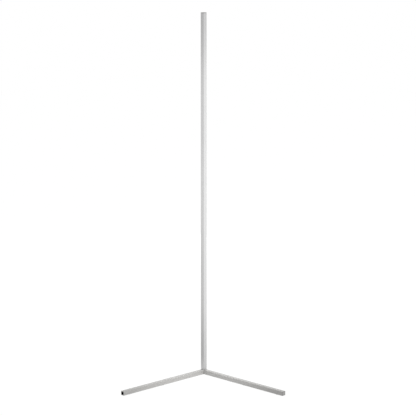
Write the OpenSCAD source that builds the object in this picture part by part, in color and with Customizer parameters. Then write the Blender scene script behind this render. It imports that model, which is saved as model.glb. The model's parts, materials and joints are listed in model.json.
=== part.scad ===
// Corner floor lamp: a slim square pole on a three-way corner joint, with two legs at a right angle.
// The pole is an extruded metal angle whose front edge points into the room, at +X -Y. Its light
// strip faces the room's corner, at -X +Y, behind an opal cover that completes the square section.
// The right leg lies along +X. The left leg lies along -Y and has the power inlet in its tip.
// Sizes are in millimetres. The origin is on the pole's axis, on the floor.

/* [Overall] */
// Height of the lamp, from the floor to the top of the pole's cap
lamp_h = 1400; // [600:10:2000]
// Width of the square section that the pole, the joint and both legs share
section_w = 16; // [16:0.5:22]
// Reach of each leg, from the pole's back face to the leg's tip
leg_reach = 434; // [300:1:700]
// Radius of the long edges of the pole, the joint and the legs
edge_r = 0.6; // [0.3:0.1:1]
// Thickness of the end plates that close the pole and the legs
cap_t = 2; // [1.5:0.1:4]
// Chamfer round the outer face of an end plate
cap_chamfer = 0.4; // [0.2:0.1:0.7]
// Length of the pegs and plugs that hold the end plates
cap_plug_len = 10; // [6:0.5:20]

/* [Pole profile] */
// Wall thickness of the pole's two outer faces
profile_wall = 1.3; // [1.1:0.1:1.5]
// Distance from the pole's front edge to the near face of the web that carries the light strip
web_setback = 9.6; // [9.4:0.1:10.2]
// Thickness of that web
web_t = 1.2; // [0.8:0.1:1.5]
// Distance of the screw port's centre from each outer face
port_inset = 4; // [3.8:0.1:4.3]
// Wall thickness round the screw port
port_wall = 0.9; // [0.7:0.1:1]
// Width of the lips and ledges that hold the cover, inwards from the outer walls
lip_w = 0.9; // [0.6:0.1:1.2]
// Thickness of the lips and ledges
lip_t = 0.9; // [0.6:0.1:1.1]
// Height of the notch in the web's lower end, where the wires reach the strip
notch_h = 9; // [8:0.5:12]

/* [Opal cover] */
// Wall thickness of the cover
cover_t = 1.5; // [1:0.1:2]
// Outer radius of the cover's corner, at the back of the pole
cover_r = 3; // [2:0.1:5]
// Thickness of the cover's snap feet
foot_t = 1.1; // [0.8:0.1:1.5]
// Depth of the snap feet, from the cover's outer face
foot_h = 2.5; // [2.2:0.1:2.8]
// Height of the barb on each snap foot
barb_h = 0.9; // [0.6:0.1:1]
// Clearance of the cover in the pole's profile
cover_fit = 0.1; // [0.05:0.01:0.2]

/* [Light strip] */
// Width of the strip's flexible board
strip_w = 10; // [8:0.5:11]
// Thickness of the strip's board
strip_t = 0.4; // [0.2:0.1:1]
// Height of the strip's lower end above the corner joint
strip_start = 12; // [11:1:30]
// Gap between the strip's upper end and the pole's cap
strip_top_gap = 14; // [10:1:60]
// Distance from one light chip to the next
chip_pitch = 16.6; // [10:0.1:40]
// Width of a light chip
chip_w = 5; // [2.8:0.1:5]
// Height of a light chip
chip_h = 1.5; // [0.8:0.1:1.8]
// Diameter of the phosphor window in a light chip
phosphor_d = 3.8; // [2:0.1:4.2]
// Depth of the phosphor window
phosphor_t = 0.3; // [0.2:0.1:0.5]
// Light chips in one circuit, which share a resistor
chips_per_circuit = 3; // [1:1:7]
// Length of a resistor
resistor_l = 3.2; // [1.6:0.1:4]
// Width of a resistor
resistor_w = 1.6; // [0.8:0.1:2.5]
// Height of a resistor
resistor_h = 0.6; // [0.3:0.1:0.8]
// Distance of the strip's solder pads from its long edges
solder_pad_inset = 2; // [1.5:0.1:3]

/* [Corner joint] */
// Length of the spigots that the legs slide on
spigot_len = 40; // [30:1:60]
// Clearance of a spigot in its leg, on each side
spigot_fit = 0.15; // [0.05:0.01:0.25]
// Diameter of the cored hole in a spigot
spigot_core_d = 8; // [6:0.5:8.4]
// Length of the cored hole in a spigot
spigot_core_len = 34; // [20:1:38]
// Height of the tongue that locates the pole
tongue_h = 30; // [15:1:45]
// Clearance of the tongue in the pole, on each side
tongue_fit = 0.15; // [0.05:0.01:0.25]
// Radius of the wire passage along the left spigot
passage_r = 2.2; // [2:0.1:2.5]

/* [Legs] */
// Wall thickness of the leg tubes
tube_wall = 1.2; // [1:0.1:1.3]
// Thickness of the rubber pads
pad_t = 1.5; // [1:0.1:3]
// Diameter of the rubber pads under the legs
pad_d = 12; // [8:0.5:15]
// Distance of the outer pads behind the power inlet's housing
pad_inset = 5; // [2:1:60]
// Side of the pad under the corner joint
corner_pad_w = 14; // [12:0.5:15]
// Wall thickness of the hollow plug on the right leg's cap
cap_plug_wall = 1.2; // [0.8:0.1:2]
// Clearance of the leg caps in their tubes, on each side
cap_fit = 0.15; // [0.05:0.01:0.25]

/* [Screws] */
// Thread diameter of the screw that holds the pole
pole_screw_d = 4; // [3.5:0.1:4.2]
// Length of that screw under its head
pole_screw_len = 30; // [20:1:40]
// Head diameter of that screw
pole_screw_head_d = 6.8; // [6.2:0.1:6.9]
// Head height of that screw
pole_screw_head_h = 4; // [3:0.1:4.4]
// Depth of that screw's head below the joint's underside
head_recess = 0.6; // [0.2:0.1:1]
// Thread diameter of the countersunk screws under the legs
leg_screw_d = 3; // [2.5:0.1:3.5]
// Length of the countersunk screws, with their heads
leg_screw_len = 5; // [4.5:0.5:6]
// Head diameter of the countersunk screws
leg_screw_head_d = 5.6; // [5:0.1:6]
// Distance of the first leg screw from the corner joint
leg_screw_start = 12; // [8:0.5:16]
// Distance between the two leg screws
leg_screw_pitch = 18; // [10:0.5:22]
// Distance of the inlet's screw from the back of its housing
inlet_screw_inset = 3; // [2.8:0.1:4]
// Width across the flats of the hexagonal socket in the pole's screw
pole_screw_hex = 3; // [2:0.5:4]
// Width across the flats of the hexagonal socket in a countersunk screw
leg_screw_hex = 2; // [1.5:0.5:2.5]
// Radial clearance between a screw and the hole that it is screwed into
thread_fit = 0.05; // [0.02:0.01:0.1]
// Radial clearance between a screw and the hole that it passes through
screw_clearance = 0.2; // [0.1:0.05:0.3]

/* [Power inlet] */
// Diameter of the opening in the left leg's tip
inlet_d = 12.6; // [12:0.1:12.8]
// Diameter of the recess that takes the plug's collar
recess_d = 11.8; // [10:0.1:12]
// Depth of that recess, behind the end plate
recess_depth = 5; // [4.5:0.5:8]
// Diameter of the bore that takes the plug's barrel
barrel_d = 5.8; // [5.6:0.1:6.4]
// Depth of that bore
barrel_depth = 9; // [8:0.5:11]
// Diameter of the inlet's centre pin
jack_pin_d = 2; // [1.6:0.1:2.5]
// Diameter of the pin's root, which is fixed in the housing
jack_pin_root_d = 2.6; // [2.2:0.1:3]
// Distance of the pin's tip from the mouth of the barrel bore
jack_pin_recess = 1; // [0.5:0.1:2]
// Length of the inlet's housing
housing_len = 20; // [18:1:30]
// Length of the solder tails behind the housing
tail_len = 4; // [3:0.5:8]
// Width of the spring contact
spring_w = 2; // [1.5:0.1:2.4]
// Thickness of the spring contact
spring_t = 0.4; // [0.2:0.05:0.5]
// Height of the spring contact's root above the barrel bore
spring_lift = 1.2; // [1:0.1:1.6]
// How far the spring contact's nose reaches into the barrel bore
spring_bite = 0.15; // [0.05:0.05:0.3]
// Flare at the mouth of the barrel bore
mouth_flare = 0.6; // [0.2:0.1:1]
// Length of the corner posts on the inlet's end plate
post_len = 6; // [4:0.5:9]
// Radius of those corner posts
post_r = 2.1; // [1.8:0.1:2.4]

/* [Control board] */
// Length of the control board
board_len = 60; // [50:1:90]
// Width of the control board
board_w = 10; // [9:0.5:10.5]
// Thickness of the control board
board_t = 1; // [0.8:0.1:1.6]
// Distance of the control board's near end from the corner joint
board_from_joint = 110; // [90:1:150]
// Wall thickness of the insulating tray under the board
tray_t = 0.6; // [0.4:0.1:0.8]
// Height of the tray's sides
tray_h = 5; // [4:0.5:7]
// Height of the ledges that carry the board, above the tray's floor
tray_ledge_h = 1; // [0.6:0.1:1.6]
// Clearance of the tray on the leg's floor, and of the board between the tray's sides
tray_fit = 0.1; // [0.05:0.01:0.2]
// Length of tray beyond each end of the board
tray_end_gap = 2; // [1:0.5:4]
// Length of board at each end where only wires are soldered
solder_len = 5; // [3:0.5:6]
// Side of the square radio chip
radio_w = 5; // [3:0.1:6]
// Height of the radio chip
radio_h = 1.2; // [0.8:0.1:2]
// Length of the driver chip
driver_l = 12; // [8:0.1:13]
// Width of the driver chip
driver_w = 8; // [5:0.1:9]
// Height of the driver chip
driver_h = 2; // [1:0.1:3]
// Side of the square coil
coil_w = 5; // [4:0.1:6]
// Height of the coil
coil_h = 3; // [2:0.1:5]
// Diameter of the capacitor
capacitor_d = 5; // [4:0.1:6.3]
// Height of the capacitor
capacitor_h = 5.4; // [4:0.1:5.8]
// Height of the capacitor's square base
capacitor_base_h = 0.8; // [0.5:0.1:1.2]

/* [Wires] */
// Diameter of an insulated wire
wire_d = 1.3; // [1:0.05:1.4]
// Clearance round a wire
wire_gap = 0.1; // [0.05:0.01:0.15]
// Radius of the wires' bends
wire_bend_r = 2; // [1.8:0.1:2.4]
// Straight length of a wire where it leaves a spigot or a solder tail
wire_lead = 6; // [4:0.5:10]
// Length of leg over which a wire goes up or down to another level
wire_slope = 16; // [12:0.5:24]

/* [Hidden] */
$fn = 64;
eps = 0.01;
// How far a cutting shape runs past the face that it opens
cut = 1;
// Least radius inside the cover's corner
cover_inner_r_min = 0.2;
// Radius of the corner pad's corners, and its clearance round the pole's screw head
corner_pad_r = 1;
corner_pad_room = 0.4;

// Levels and reaches
half_w = section_w / 2;
leg_z = pad_t;                              // underside of the legs and the joint
axis_z = leg_z + half_w;                    // centre line of the legs
joint_top = leg_z + section_w;              // where the pole stands
pole_end = lamp_h - cap_t;                  // where the profile ends, under its cap
pole_len = pole_end - joint_top;
leg_tip = leg_reach - half_w;               // outer face of a leg's cap, from the pole's axis
tube_end = leg_tip - cap_t;                 // where a leg tube ends
tube_bore_w = section_w - 2 * tube_wall;
tube_floor = leg_z + tube_wall;
spigot_w = tube_bore_w - 2 * spigot_fit;
plug_w = tube_bore_w - 2 * cap_fit;         // what closes a leg's tube

// The web runs where the distances from the two outer faces add up to these
web_front_sum = web_setback * sqrt(2);
web_back = web_setback + web_t;
port_r = pole_screw_d / 2 + thread_fit;
port_boss_r = port_r + port_wall;

// The wires stand in the duct's left pocket, on the left wall: insets from the two outer faces
wire_pitch = wire_d + wire_gap;
wire_inset_y = profile_wall + wire_gap + wire_d / 2;
wire_inset_x = [for (i = [0, 1])
    web_front_sum - wire_inset_y - (wire_d / 2 + wire_gap) * sqrt(2) - i * wire_pitch];
wire_x = [for (inset = wire_inset_x) half_w - inset];
wire_y = wire_inset_y - half_w;
passage_x = (wire_x[0] + wire_x[1]) / 2;

// Light strip
strip_z = joint_top + strip_start;
strip_len = pole_end - strip_top_gap - strip_z;
chip_count = floor((strip_len - chip_pitch) / chip_pitch) + 1;
first_chip_z = strip_z + (strip_len - (chip_count - 1) * chip_pitch) / 2;

// Power inlet, along the left leg
recess_end = tube_end - recess_depth;
barrel_end = recess_end - barrel_depth;
housing_back = tube_end - housing_len;
tail_end = housing_back - tail_len;
spring_rise = barrel_d / 2 + spring_lift;   // the spring contact's root above the inlet's axis
spring_start = barrel_end + spring_rise - barrel_d / 2;     // where the contact leaves its slot

// Control board, along the left leg
board_near = half_w + board_from_joint;
board_far = board_near + board_len;
tray_w = board_w + 2 * (tray_t + tray_fit);
board_z = tube_floor + tray_fit + tray_t + tray_ledge_h;
board_top = board_z + board_t;
board_parts = [[radio_w, radio_w, radio_h], [driver_l, driver_w, driver_h], [coil_w, coil_w, coil_h]];
parts_len = radio_w + driver_l + coil_w + capacitor_d;
part_gaps = len(board_parts) + 2;           // one before each part and the capacitor, one after them
part_gap = (board_len - 2 * solder_len - parts_len) / part_gaps;

// Levels of the wires in the left leg
wire_floor = tube_floor + wire_gap + wire_d / 2;
wire_on_board = board_top + wire_d / 2;

// ---------- plane outlines ----------

// Square of side w whose corners have the radii [front right, back right, back left, front left],
// where front is -Y
module rounded_square(w, radii) {
    h = w / 2;
    turn = [[1, -1], [1, 1], [-1, 1], [-1, -1]];
    polygon([for (i = [0 : 3])
        let (c = turn[i], r = radii[i], odd = i % 2)
        each [[c.x * (h - (odd ? 0 : r)), c.y * (h - (odd ? r : 0))],
              [c.x * (h - (odd ? r : 0)), c.y * (h - (odd ? 0 : r))]]]);
    for (i = [0 : 3])
        translate([turn[i].x * (h - radii[i]), turn[i].y * (h - radii[i])]) circle(radii[i]);
}

// Outline of the pole and the joint, seen from above
module pole_outline() {
    rounded_square(section_w, [edge_r, edge_r, cover_r, edge_r]);
}

// Square of side w with the long edges' radius at each corner
module edged_square(w, r = edge_r) {
    rounded_square(w, [r, r, r, r]);
}

// Plane frame at the pole's front edge: +X and +Y are the insets from the left and the right face
module from_front_edge() {
    translate([half_w, -half_w]) rotate(90) children();
}

// Frame at the pole's front edge: +Y runs back along the diagonal, +X runs across it to the right
module on_diagonal() {
    translate([half_w, -half_w]) rotate(45) children();
}

// Makes the children twice, as mirror images in the pole's diagonal, in the frame of from_front_edge
module both_sides() {
    children();
    mirror([1, -1]) children();
}

// ---------- frames along the legs ----------

// Turns a piece that is modelled along +X round to the left leg
module on_left_leg() {
    rotate(-90) children();
}

// Extrudes a leg's outline along +X, from one distance to another
module along_leg(from, to) {
    translate([from, 0, axis_z]) rotate([90, 0, 90]) linear_extrude(to - from) children();
}

// Cylinder along +X on a leg's centre line
module round_along_leg(from, to, d) {
    translate([from, 0, axis_z]) rotate([0, 90, 0]) cylinder(h = to - from, d = d);
}

// ---------- screws ----------

// Countersunk screw with its head down, flush with z = 0
module countersunk_screw(clearance = 0, length = leg_screw_len) {
    head_h = (leg_screw_head_d - leg_screw_d) / 2;
    cylinder(h = head_h, r1 = leg_screw_head_d / 2 + clearance, r2 = leg_screw_d / 2 + clearance);
    cylinder(h = length, r = leg_screw_d / 2 + clearance);
}

// Hexagonal drive socket, cut upwards from z = 0
module hex_socket(across_flats, depth) {
    translate([0, 0, -cut]) cylinder(h = depth + cut, d = across_flats / cos(30), $fn = 6);
}

// Puts the children at the distance x along the leg, on its underside
module under_leg(x) {
    translate([x, 0, leg_z]) children();
}

module at_leg_screws() {
    for (i = [0, 1]) under_leg(half_w + leg_screw_start + i * leg_screw_pitch) children();
}

module leg_screw() {
    difference() {
        countersunk_screw();
        hex_socket(leg_screw_hex, leg_screw_len / 3);
    }
}

module leg_screws() {
    color("dimgray") at_leg_screws() leg_screw();
}

module leg_screw_hole() {
    countersunk_screw(thread_fit, leg_screw_len + cut);
}

// ---------- pole ----------

module duct_tongue_outline(fit) {
    inset = profile_wall + fit;
    near = port_inset + port_boss_r + fit;
    far = web_front_sum - fit * sqrt(2);
    polygon([[near, inset], [far - inset, inset], [near, far - near]]);
}

module profile_outline() {
    web_back_sum = web_back * sqrt(2);
    root = profile_wall / 2;
    groove_w = barb_h + 2 * cover_fit;
    intersection() {
        pole_outline();
        from_front_edge() difference() {
            union() {
                both_sides() {
                    square([section_w, profile_wall]);
                    translate([section_w - lip_t, 0]) square([lip_t, profile_wall + lip_w]);
                    translate([section_w - 2 * lip_t - groove_w, 0])
                        square([lip_t, profile_wall + lip_w]);
                }
                polygon([[root, web_front_sum - root], [web_front_sum - root, root],
                    [web_back_sum - root, root], [root, web_back_sum - root]]);
                translate([port_inset, port_inset]) circle(port_boss_r);
            }
            translate([port_inset, port_inset]) circle(port_r);
        }
    }
}

// Room in the web for the wires, from the joint upwards
module web_notch() {
    left = sqrt(2) * wire_inset_x[0] - web_setback + wire_d;
    right = strip_w / 2 - solder_pad_inset + wire_d / 2;
    on_diagonal() translate([-left, web_setback - eps, joint_top - cut])
        cube([left + right, web_t + 2 * eps, notch_h + cut]);
}

module pole_profile() {
    color("silver") difference() {
        translate([0, 0, joint_top]) linear_extrude(pole_len) profile_outline();
        web_notch();
    }
}

module cover_outline() {
    start = profile_wall + lip_w + cover_fit;
    barb_at = section_w - lip_t - cover_fit - barb_h;
    inner_r = max(cover_r - cover_t, cover_inner_r_min);
    intersection() {
        pole_outline();
        from_front_edge() {
            difference() {
                translate([start, start]) square(section_w - start);
                translate([half_w - cover_t, half_w - cover_t])
                    rounded_square(section_w, [edge_r, inner_r, edge_r, edge_r]);
            }
            both_sides() {
                translate([section_w - foot_h, start]) square([foot_h, foot_t]);
                translate([barb_at, profile_wall + cover_fit]) square([barb_h, lip_w + eps]);
            }
        }
    }
}

module opal_cover() {
    color("ivory") translate([0, 0, joint_top]) linear_extrude(pole_len) cover_outline();
}

// End plate of the given outline, with a chamfered outer face at z = cap_t
module end_plate() {
    scale_in = (section_w - 2 * cap_chamfer) / section_w;
    linear_extrude(cap_t - cap_chamfer) children();
    translate([0, 0, cap_t - cap_chamfer]) linear_extrude(cap_chamfer, scale = scale_in) children();
}

module pole_top_cap() {
    color("gray") {
        translate([0, 0, pole_end]) end_plate() pole_outline();
        translate([0, 0, pole_end - cap_plug_len]) linear_extrude(cap_plug_len) from_front_edge() {
            both_sides() duct_tongue_outline(tongue_fit);
            translate([port_inset, port_inset]) circle(port_r - thread_fit);
        }
    }
}

// ---------- light strip ----------

// Puts the children on the strip's surface: +X across the strip, +Y away from it, +Z up
module on_strip(z) {
    on_diagonal() translate([0, web_back + strip_t, z]) children();
}

module led_strip_board() {
    color("white") on_strip(strip_z) translate([-strip_w / 2, -strip_t, 0])
        cube([strip_w, strip_t, strip_len]);
}

module at_each_chip() {
    for (i = [0 : chip_count - 1])
        on_strip(first_chip_z + i * chip_pitch) children();
}

module phosphor_window(depth) {
    translate([0, chip_h - phosphor_t, 0]) rotate([-90, 0, 0]) cylinder(h = depth, d = phosphor_d);
}

module led_chips() {
    color("whitesmoke") at_each_chip() difference() {
        translate([-chip_w / 2, 0, -chip_w / 2]) cube([chip_w, chip_h, chip_w]);
        phosphor_window(phosphor_t + cut);
    }
}

module led_phosphors() {
    color("khaki") at_each_chip() phosphor_window(phosphor_t);
}

// One resistor after the first chip of each circuit
module strip_resistors() {
    color("dimgray") for (i = [0 : chips_per_circuit : chip_count - 2])
        on_strip(first_chip_z + (i + 0.5) * chip_pitch)
            translate([-resistor_w / 2, 0, -resistor_l / 2]) cube([resistor_w, resistor_h, resistor_l]);
}

// ---------- corner joint ----------

module spigot() {
    core_start = half_w + spigot_len - spigot_core_len;
    difference() {
        along_leg(half_w - eps, half_w + spigot_len) edged_square(spigot_w);
        round_along_leg(core_start, half_w + spigot_len + cut, spigot_core_d);
    }
}

module corner_joint() {
    screw_at = half_w - port_inset;
    head_r = (pole_screw_head_d + screw_clearance) / 2;
    color("silver") difference() {
        union() {
            translate([0, 0, leg_z]) linear_extrude(section_w) pole_outline();
            spigot();
            on_left_leg() spigot();
            translate([0, 0, joint_top - eps]) linear_extrude(tongue_h + eps)
                from_front_edge() duct_tongue_outline(tongue_fit);
        }
        // way through for the pole's screw, with a counterbore for its head
        translate([screw_at, -screw_at, leg_z - cut])
            cylinder(h = section_w + 2 * cut, r = pole_screw_d / 2 + screw_clearance);
        translate([screw_at, -screw_at, leg_z - cut])
            cylinder(h = cut + head_recess + pole_screw_head_h, r = head_r);
        // passage for the wires, in along the left spigot and up into the pole's duct
        translate([passage_x, wire_y, axis_z]) rotate([90, 0, 0])
            cylinder(h = half_w + wire_y + spigot_len, r = passage_r);
        translate([passage_x, wire_y, axis_z])
            cylinder(h = section_w, r = wire_d + 2 * wire_gap + screw_clearance / 2);
        at_leg_screws() leg_screw_hole();
        on_left_leg() at_leg_screws() leg_screw_hole();
    }
}

module pole_screw() {
    screw_at = half_w - port_inset;
    seat_z = leg_z + head_recess + pole_screw_head_h;
    color("dimgray") translate([screw_at, -screw_at, seat_z]) difference() {
        union() {
            translate([0, 0, -pole_screw_head_h]) cylinder(h = pole_screw_head_h, d = pole_screw_head_d);
            cylinder(h = pole_screw_len, d = pole_screw_d);
        }
        translate([0, 0, -pole_screw_head_h]) hex_socket(pole_screw_hex, pole_screw_head_h / 2);
    }
}

// ---------- legs ----------

module leg_tube() {
    inner_r = edge_r / 2;
    color("silver") difference() {
        along_leg(half_w, tube_end) edged_square(section_w);
        along_leg(half_w - cut, tube_end + cut) edged_square(tube_bore_w, inner_r);
        intersection() {
            at_leg_screws() leg_screw_hole();
            translate([0, -half_w, 0]) cube([leg_tip, section_w, axis_z]);
        }
    }
}

module at_inlet_screw() {
    under_leg(housing_back + inlet_screw_inset) children();
}

module left_leg_tube() {
    on_left_leg() difference() {
        leg_tube();
        color("silver") at_inlet_screw() leg_screw_hole();
    }
}

module right_leg_cap() {
    color("gray") {
        translate([tube_end, 0, axis_z]) rotate([90, 0, 90]) end_plate() edged_square(section_w);
        along_leg(tube_end - cap_plug_len, tube_end + eps) difference() {
            edged_square(plug_w);
            square(plug_w - 2 * cap_plug_wall, center = true);
        }
    }
}

module leg_pads() {
    outer = housing_back - pad_inset - pad_d / 2;
    centres = [outer, (half_w + spigot_len + outer) / 2];
    color("dimgray") for (x = centres) translate([x, 0, 0]) cylinder(h = pad_t, d = pad_d);
}

// The pad under the joint leaves the pole's screw free
module corner_pad() {
    screw_at = half_w - port_inset;
    room = pole_screw_head_d / 2 + corner_pad_room;
    color("dimgray") linear_extrude(pad_t) difference() {
        rounded_square(corner_pad_w, [corner_pad_r, corner_pad_r, cover_r, corner_pad_r]);
        translate([screw_at, -screw_at]) circle(room);
        translate([screw_at, -screw_at - section_w]) square(section_w);
    }
}

// ---------- power inlet, modelled along +X and turned to the left leg ----------

module at_bore_corners() {
    offset_to_corner = plug_w / 2 - post_r;
    for (sy = [-1, 1], sz = [-1, 1])
        translate([sy * offset_to_corner, sz * offset_to_corner]) children();
}

// Corner posts of the inlet's end plate: round on the inside, filling the tube's corners
module post_outline(fit) {
    at_bore_corners() circle(post_r + fit);
    intersection() {
        edged_square(plug_w + 2 * fit);
        for (a = [0 : 90 : 270]) rotate(a) translate([plug_w / 2 - post_r, plug_w / 2 - post_r])
            square(post_r + fit);
    }
}

module inlet_cap() {
    color("silver") on_left_leg() difference() {
        union() {
            translate([tube_end, 0, axis_z]) rotate([90, 0, 90]) end_plate() edged_square(section_w);
            along_leg(tube_end - post_len, tube_end + eps) post_outline(0);
        }
        round_along_leg(tube_end - post_len - cut, leg_tip + cut, inlet_d);
    }
}

// The spring contact's shape, seen from the side: the inlet's axis is y = 0, and x is along the leg
module spring_outline() {
    nose = barrel_d / 2 - spring_bite;
    nose_x = recess_end - barrel_depth / 3;
    tip_x = recess_end - barrel_depth / 9;
    tip = (nose + spring_rise) / 2;
    under = [[tail_end, spring_rise], [spring_start, spring_rise], [nose_x, nose], [tip_x, tip]];
    polygon([each under, for (i = [len(under) - 1 : -1 : 0]) under[i] + [0, spring_t]]);
}

module inlet_housing() {
    spring_room = wire_gap;
    slot_w = spring_w + 2 * spring_room;
    color([0.06, 0.06, 0.06]) on_left_leg() difference() {
        along_leg(housing_back, tube_end) edged_square(plug_w);
        // corners cut away for the end plate's posts
        along_leg(tube_end - post_len - cap_fit, tube_end + cut) post_outline(cap_fit);
        // recess for the plug's collar, then the flared bore for its barrel
        round_along_leg(recess_end, tube_end + cut, recess_d);
        round_along_leg(barrel_end, recess_end + eps, barrel_d);
        translate([recess_end - mouth_flare, 0, axis_z]) rotate([0, 90, 0])
            cylinder(h = mouth_flare + eps, d1 = barrel_d, d2 = barrel_d + 2 * mouth_flare);
        // seats of the centre pin and the spring contact
        round_along_leg(housing_back - cut, barrel_end + eps, jack_pin_root_d);
        translate([spring_start - spring_room, -slot_w / 2, axis_z])
            cube([recess_end - spring_start + spring_room + eps, slot_w,
                spring_rise + spring_t + spring_room]);
        translate([housing_back - cut, -spring_w / 2, axis_z + spring_rise])
            cube([spring_start - housing_back + cut, spring_w, spring_t]);
        at_inlet_screw() leg_screw_hole();
    }
}

module inlet_centre_pin() {
    tip = recess_end - jack_pin_recess;
    tip_chamfer = jack_pin_d * 0.15;
    color("gold") on_left_leg() {
        round_along_leg(tail_end, barrel_end, jack_pin_root_d);
        round_along_leg(barrel_end - eps, tip - tip_chamfer, jack_pin_d);
        translate([tip - tip_chamfer, 0, axis_z]) rotate([0, 90, 0])
            cylinder(h = tip_chamfer, d1 = jack_pin_d, d2 = jack_pin_d - 2 * tip_chamfer);
    }
}

module inlet_spring_contact() {
    color("gold") on_left_leg() translate([0, spring_w / 2, axis_z]) rotate([90, 0, 0])
        linear_extrude(spring_w) spring_outline();
}

module inlet_screw() {
    color("dimgray") on_left_leg() at_inlet_screw() leg_screw();
}

// ---------- control board ----------

// Insulating tray: floor, sides and the ledges that carry the board
module tray_outline() {
    w = tray_w / 2;
    inner = w - tray_t;
    ledge = inner - tray_t;
    polygon([[-w, 0], [w, 0], [w, tray_h], [inner, tray_h], [inner, tray_t + tray_ledge_h],
        [ledge, tray_t + tray_ledge_h], [ledge, tray_t], [-ledge, tray_t],
        [-ledge, tray_t + tray_ledge_h], [-inner, tray_t + tray_ledge_h], [-inner, tray_h], [-w, tray_h]]);
}

module control_board_tray() {
    color("lightgray") on_left_leg() translate([board_near - tray_end_gap, 0, tube_floor + tray_fit])
        rotate([90, 0, 90]) linear_extrude(board_len + 2 * tray_end_gap) tray_outline();
}

module control_board() {
    color("seagreen") on_left_leg() translate([board_near, -board_w / 2, board_z])
        cube([board_len, board_w, board_t]);
}

// The chips, the coil and the capacitor share out the board's free length in even gaps
function length_before(i) = i == 0 ? 0 : length_before(i - 1) + board_parts[i - 1].x;

module control_chips() {
    color([0.12, 0.12, 0.12]) on_left_leg() for (i = [0 : len(board_parts) - 1])
        let (size = board_parts[i], start = solder_len + (i + 1) * part_gap + length_before(i))
        translate([board_near + start, -size.y / 2, board_top]) cube(size);
}

module control_capacitor() {
    r = capacitor_d / 2;
    color("silver") on_left_leg() translate([board_far - solder_len - part_gap - r, 0, board_top]) {
        translate([-r, -r, 0]) cube([capacitor_d, capacitor_d, capacitor_base_h]);
        translate([0, 0, capacitor_base_h - eps]) cylinder(h = capacitor_h - capacitor_base_h + eps, r = r);
    }
}

// ---------- wires ----------

function unit(v) = v / norm(v);

// Route through the points p with each corner rounded to the radius r, in n steps
function rounded_route(p, r, n = 5) = [
    p[0],
    for (i = [1 : len(p) - 2])
        let (a = unit(p[i - 1] - p[i]), b = unit(p[i + 1] - p[i]),
            half_angle = acos(a * b) / 2,
            centre = p[i] + unit(a + b) * r / sin(half_angle),
            from = p[i] + a * r / tan(half_angle) - centre,
            to = p[i] + b * r / tan(half_angle) - centre,
            sweep = 180 - 2 * half_angle)
        for (k = [0 : n]) centre + (from * sin(sweep * (1 - k / n)) + to * sin(sweep * k / n)) / sin(sweep),
    p[len(p) - 1]
];

function tangents(p) = [for (i = [0 : len(p) - 1])
    unit(p[min(i + 1, len(p) - 1)] - p[max(i - 1, 0)])];

function square_to(v, t) = unit(v - (v * t) * t);

// One normal for each tangent, each turned as little as possible from the last
function normals(t, start) = [
    for (i = 0, v = square_to(start, t[0]); i < len(t); i = i + 1,
        v = i < len(t) ? square_to(v, t[i]) : v) v
];

// Round tube along the points p, with flat ends
module tube_along(p, d, sides = 8) {
    t = tangents(p);
    across = normals(t, [1, 0, 0]);
    last = (len(p) - 1) * sides;
    polyhedron(
        points = [for (i = [0 : len(p) - 1], k = [0 : sides - 1])
            let (a = 360 * k / sides)
            p[i] + d / 2 * (cos(a) * across[i] + sin(a) * cross(t[i], across[i]))],
        faces = [
            [for (k = [sides - 1 : -1 : 0]) last + k],
            [for (k = [0 : sides - 1]) k],
            for (i = [0 : len(p) - 2], k = [0 : sides - 1])
                let (a = i * sides + k, b = i * sides + (k + 1) % sides)
                each [[a, a + sides, b], [b, a + sides, b + sides]]
        ]);
}

// Point in the left leg, from its distance along the leg, its x and its height
function in_left_leg(along, x, z) = [x, -along, z];

// From a solder tail of the inlet, down on to the leg's floor and up on to the board's far end
module supply_wire(i, tail_z) {
    x = wire_x[i];
    over_tray_end = board_far + tray_end_gap + wire_d;
    tube_along(rounded_route([
        in_left_leg(tail_end, 0, tail_z),
        in_left_leg(tail_end - wire_lead, 0, tail_z),
        in_left_leg(tail_end - wire_lead - wire_slope, x, wire_floor),
        in_left_leg(over_tray_end + wire_slope, x, wire_floor),
        in_left_leg(over_tray_end, x, wire_on_board),
        in_left_leg(board_far - solder_len / 2, x, wire_on_board)
    ], 2 * wire_bend_r), wire_d);
}

module supply_wire_positive() {
    color("firebrick") supply_wire(0, axis_z);
}

module supply_wire_negative() {
    color([0.1, 0.1, 0.1]) supply_wire(1, axis_z + spring_rise + spring_t / 2);
}

// Point in the pole, in the frame of on_diagonal
function on_diagonal_point(across, back, z) =
    [half_w + (across - back) / sqrt(2), (across + back) / sqrt(2) - half_w, z];

// From the board's near end along the leg and the left spigot, up the pole's duct, through the web's
// notch and on to the strip's lower end
module strip_wire(i, pad_across) {
    x = wire_x[i];
    spigot_mouth = half_w + spigot_len + wire_lead;
    over_tray_end = board_near - tray_end_gap - wire_d;
    above_strip = web_back + strip_t + wire_d / 2;
    tube_along(rounded_route([
        in_left_leg(board_near + solder_len / 2, x, wire_on_board),
        in_left_leg(over_tray_end, x, wire_on_board),
        in_left_leg(over_tray_end - wire_slope, x, wire_floor),
        in_left_leg(spigot_mouth + wire_slope, x, wire_floor),
        in_left_leg(spigot_mouth, x, axis_z),
        [x, wire_y, axis_z],
        [x, wire_y, joint_top + notch_h / 3],
        on_diagonal_point(pad_across, above_strip, joint_top + notch_h),
        on_diagonal_point(pad_across, above_strip, strip_z + solder_len / 2)
    ], wire_bend_r), wire_d);
}

module strip_wire_positive() {
    color("firebrick") strip_wire(0, solder_pad_inset - strip_w / 2);
}

module strip_wire_negative() {
    color([0.1, 0.1, 0.1]) strip_wire(1, strip_w / 2 - solder_pad_inset);
}

// ---------- nodes ----------

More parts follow.
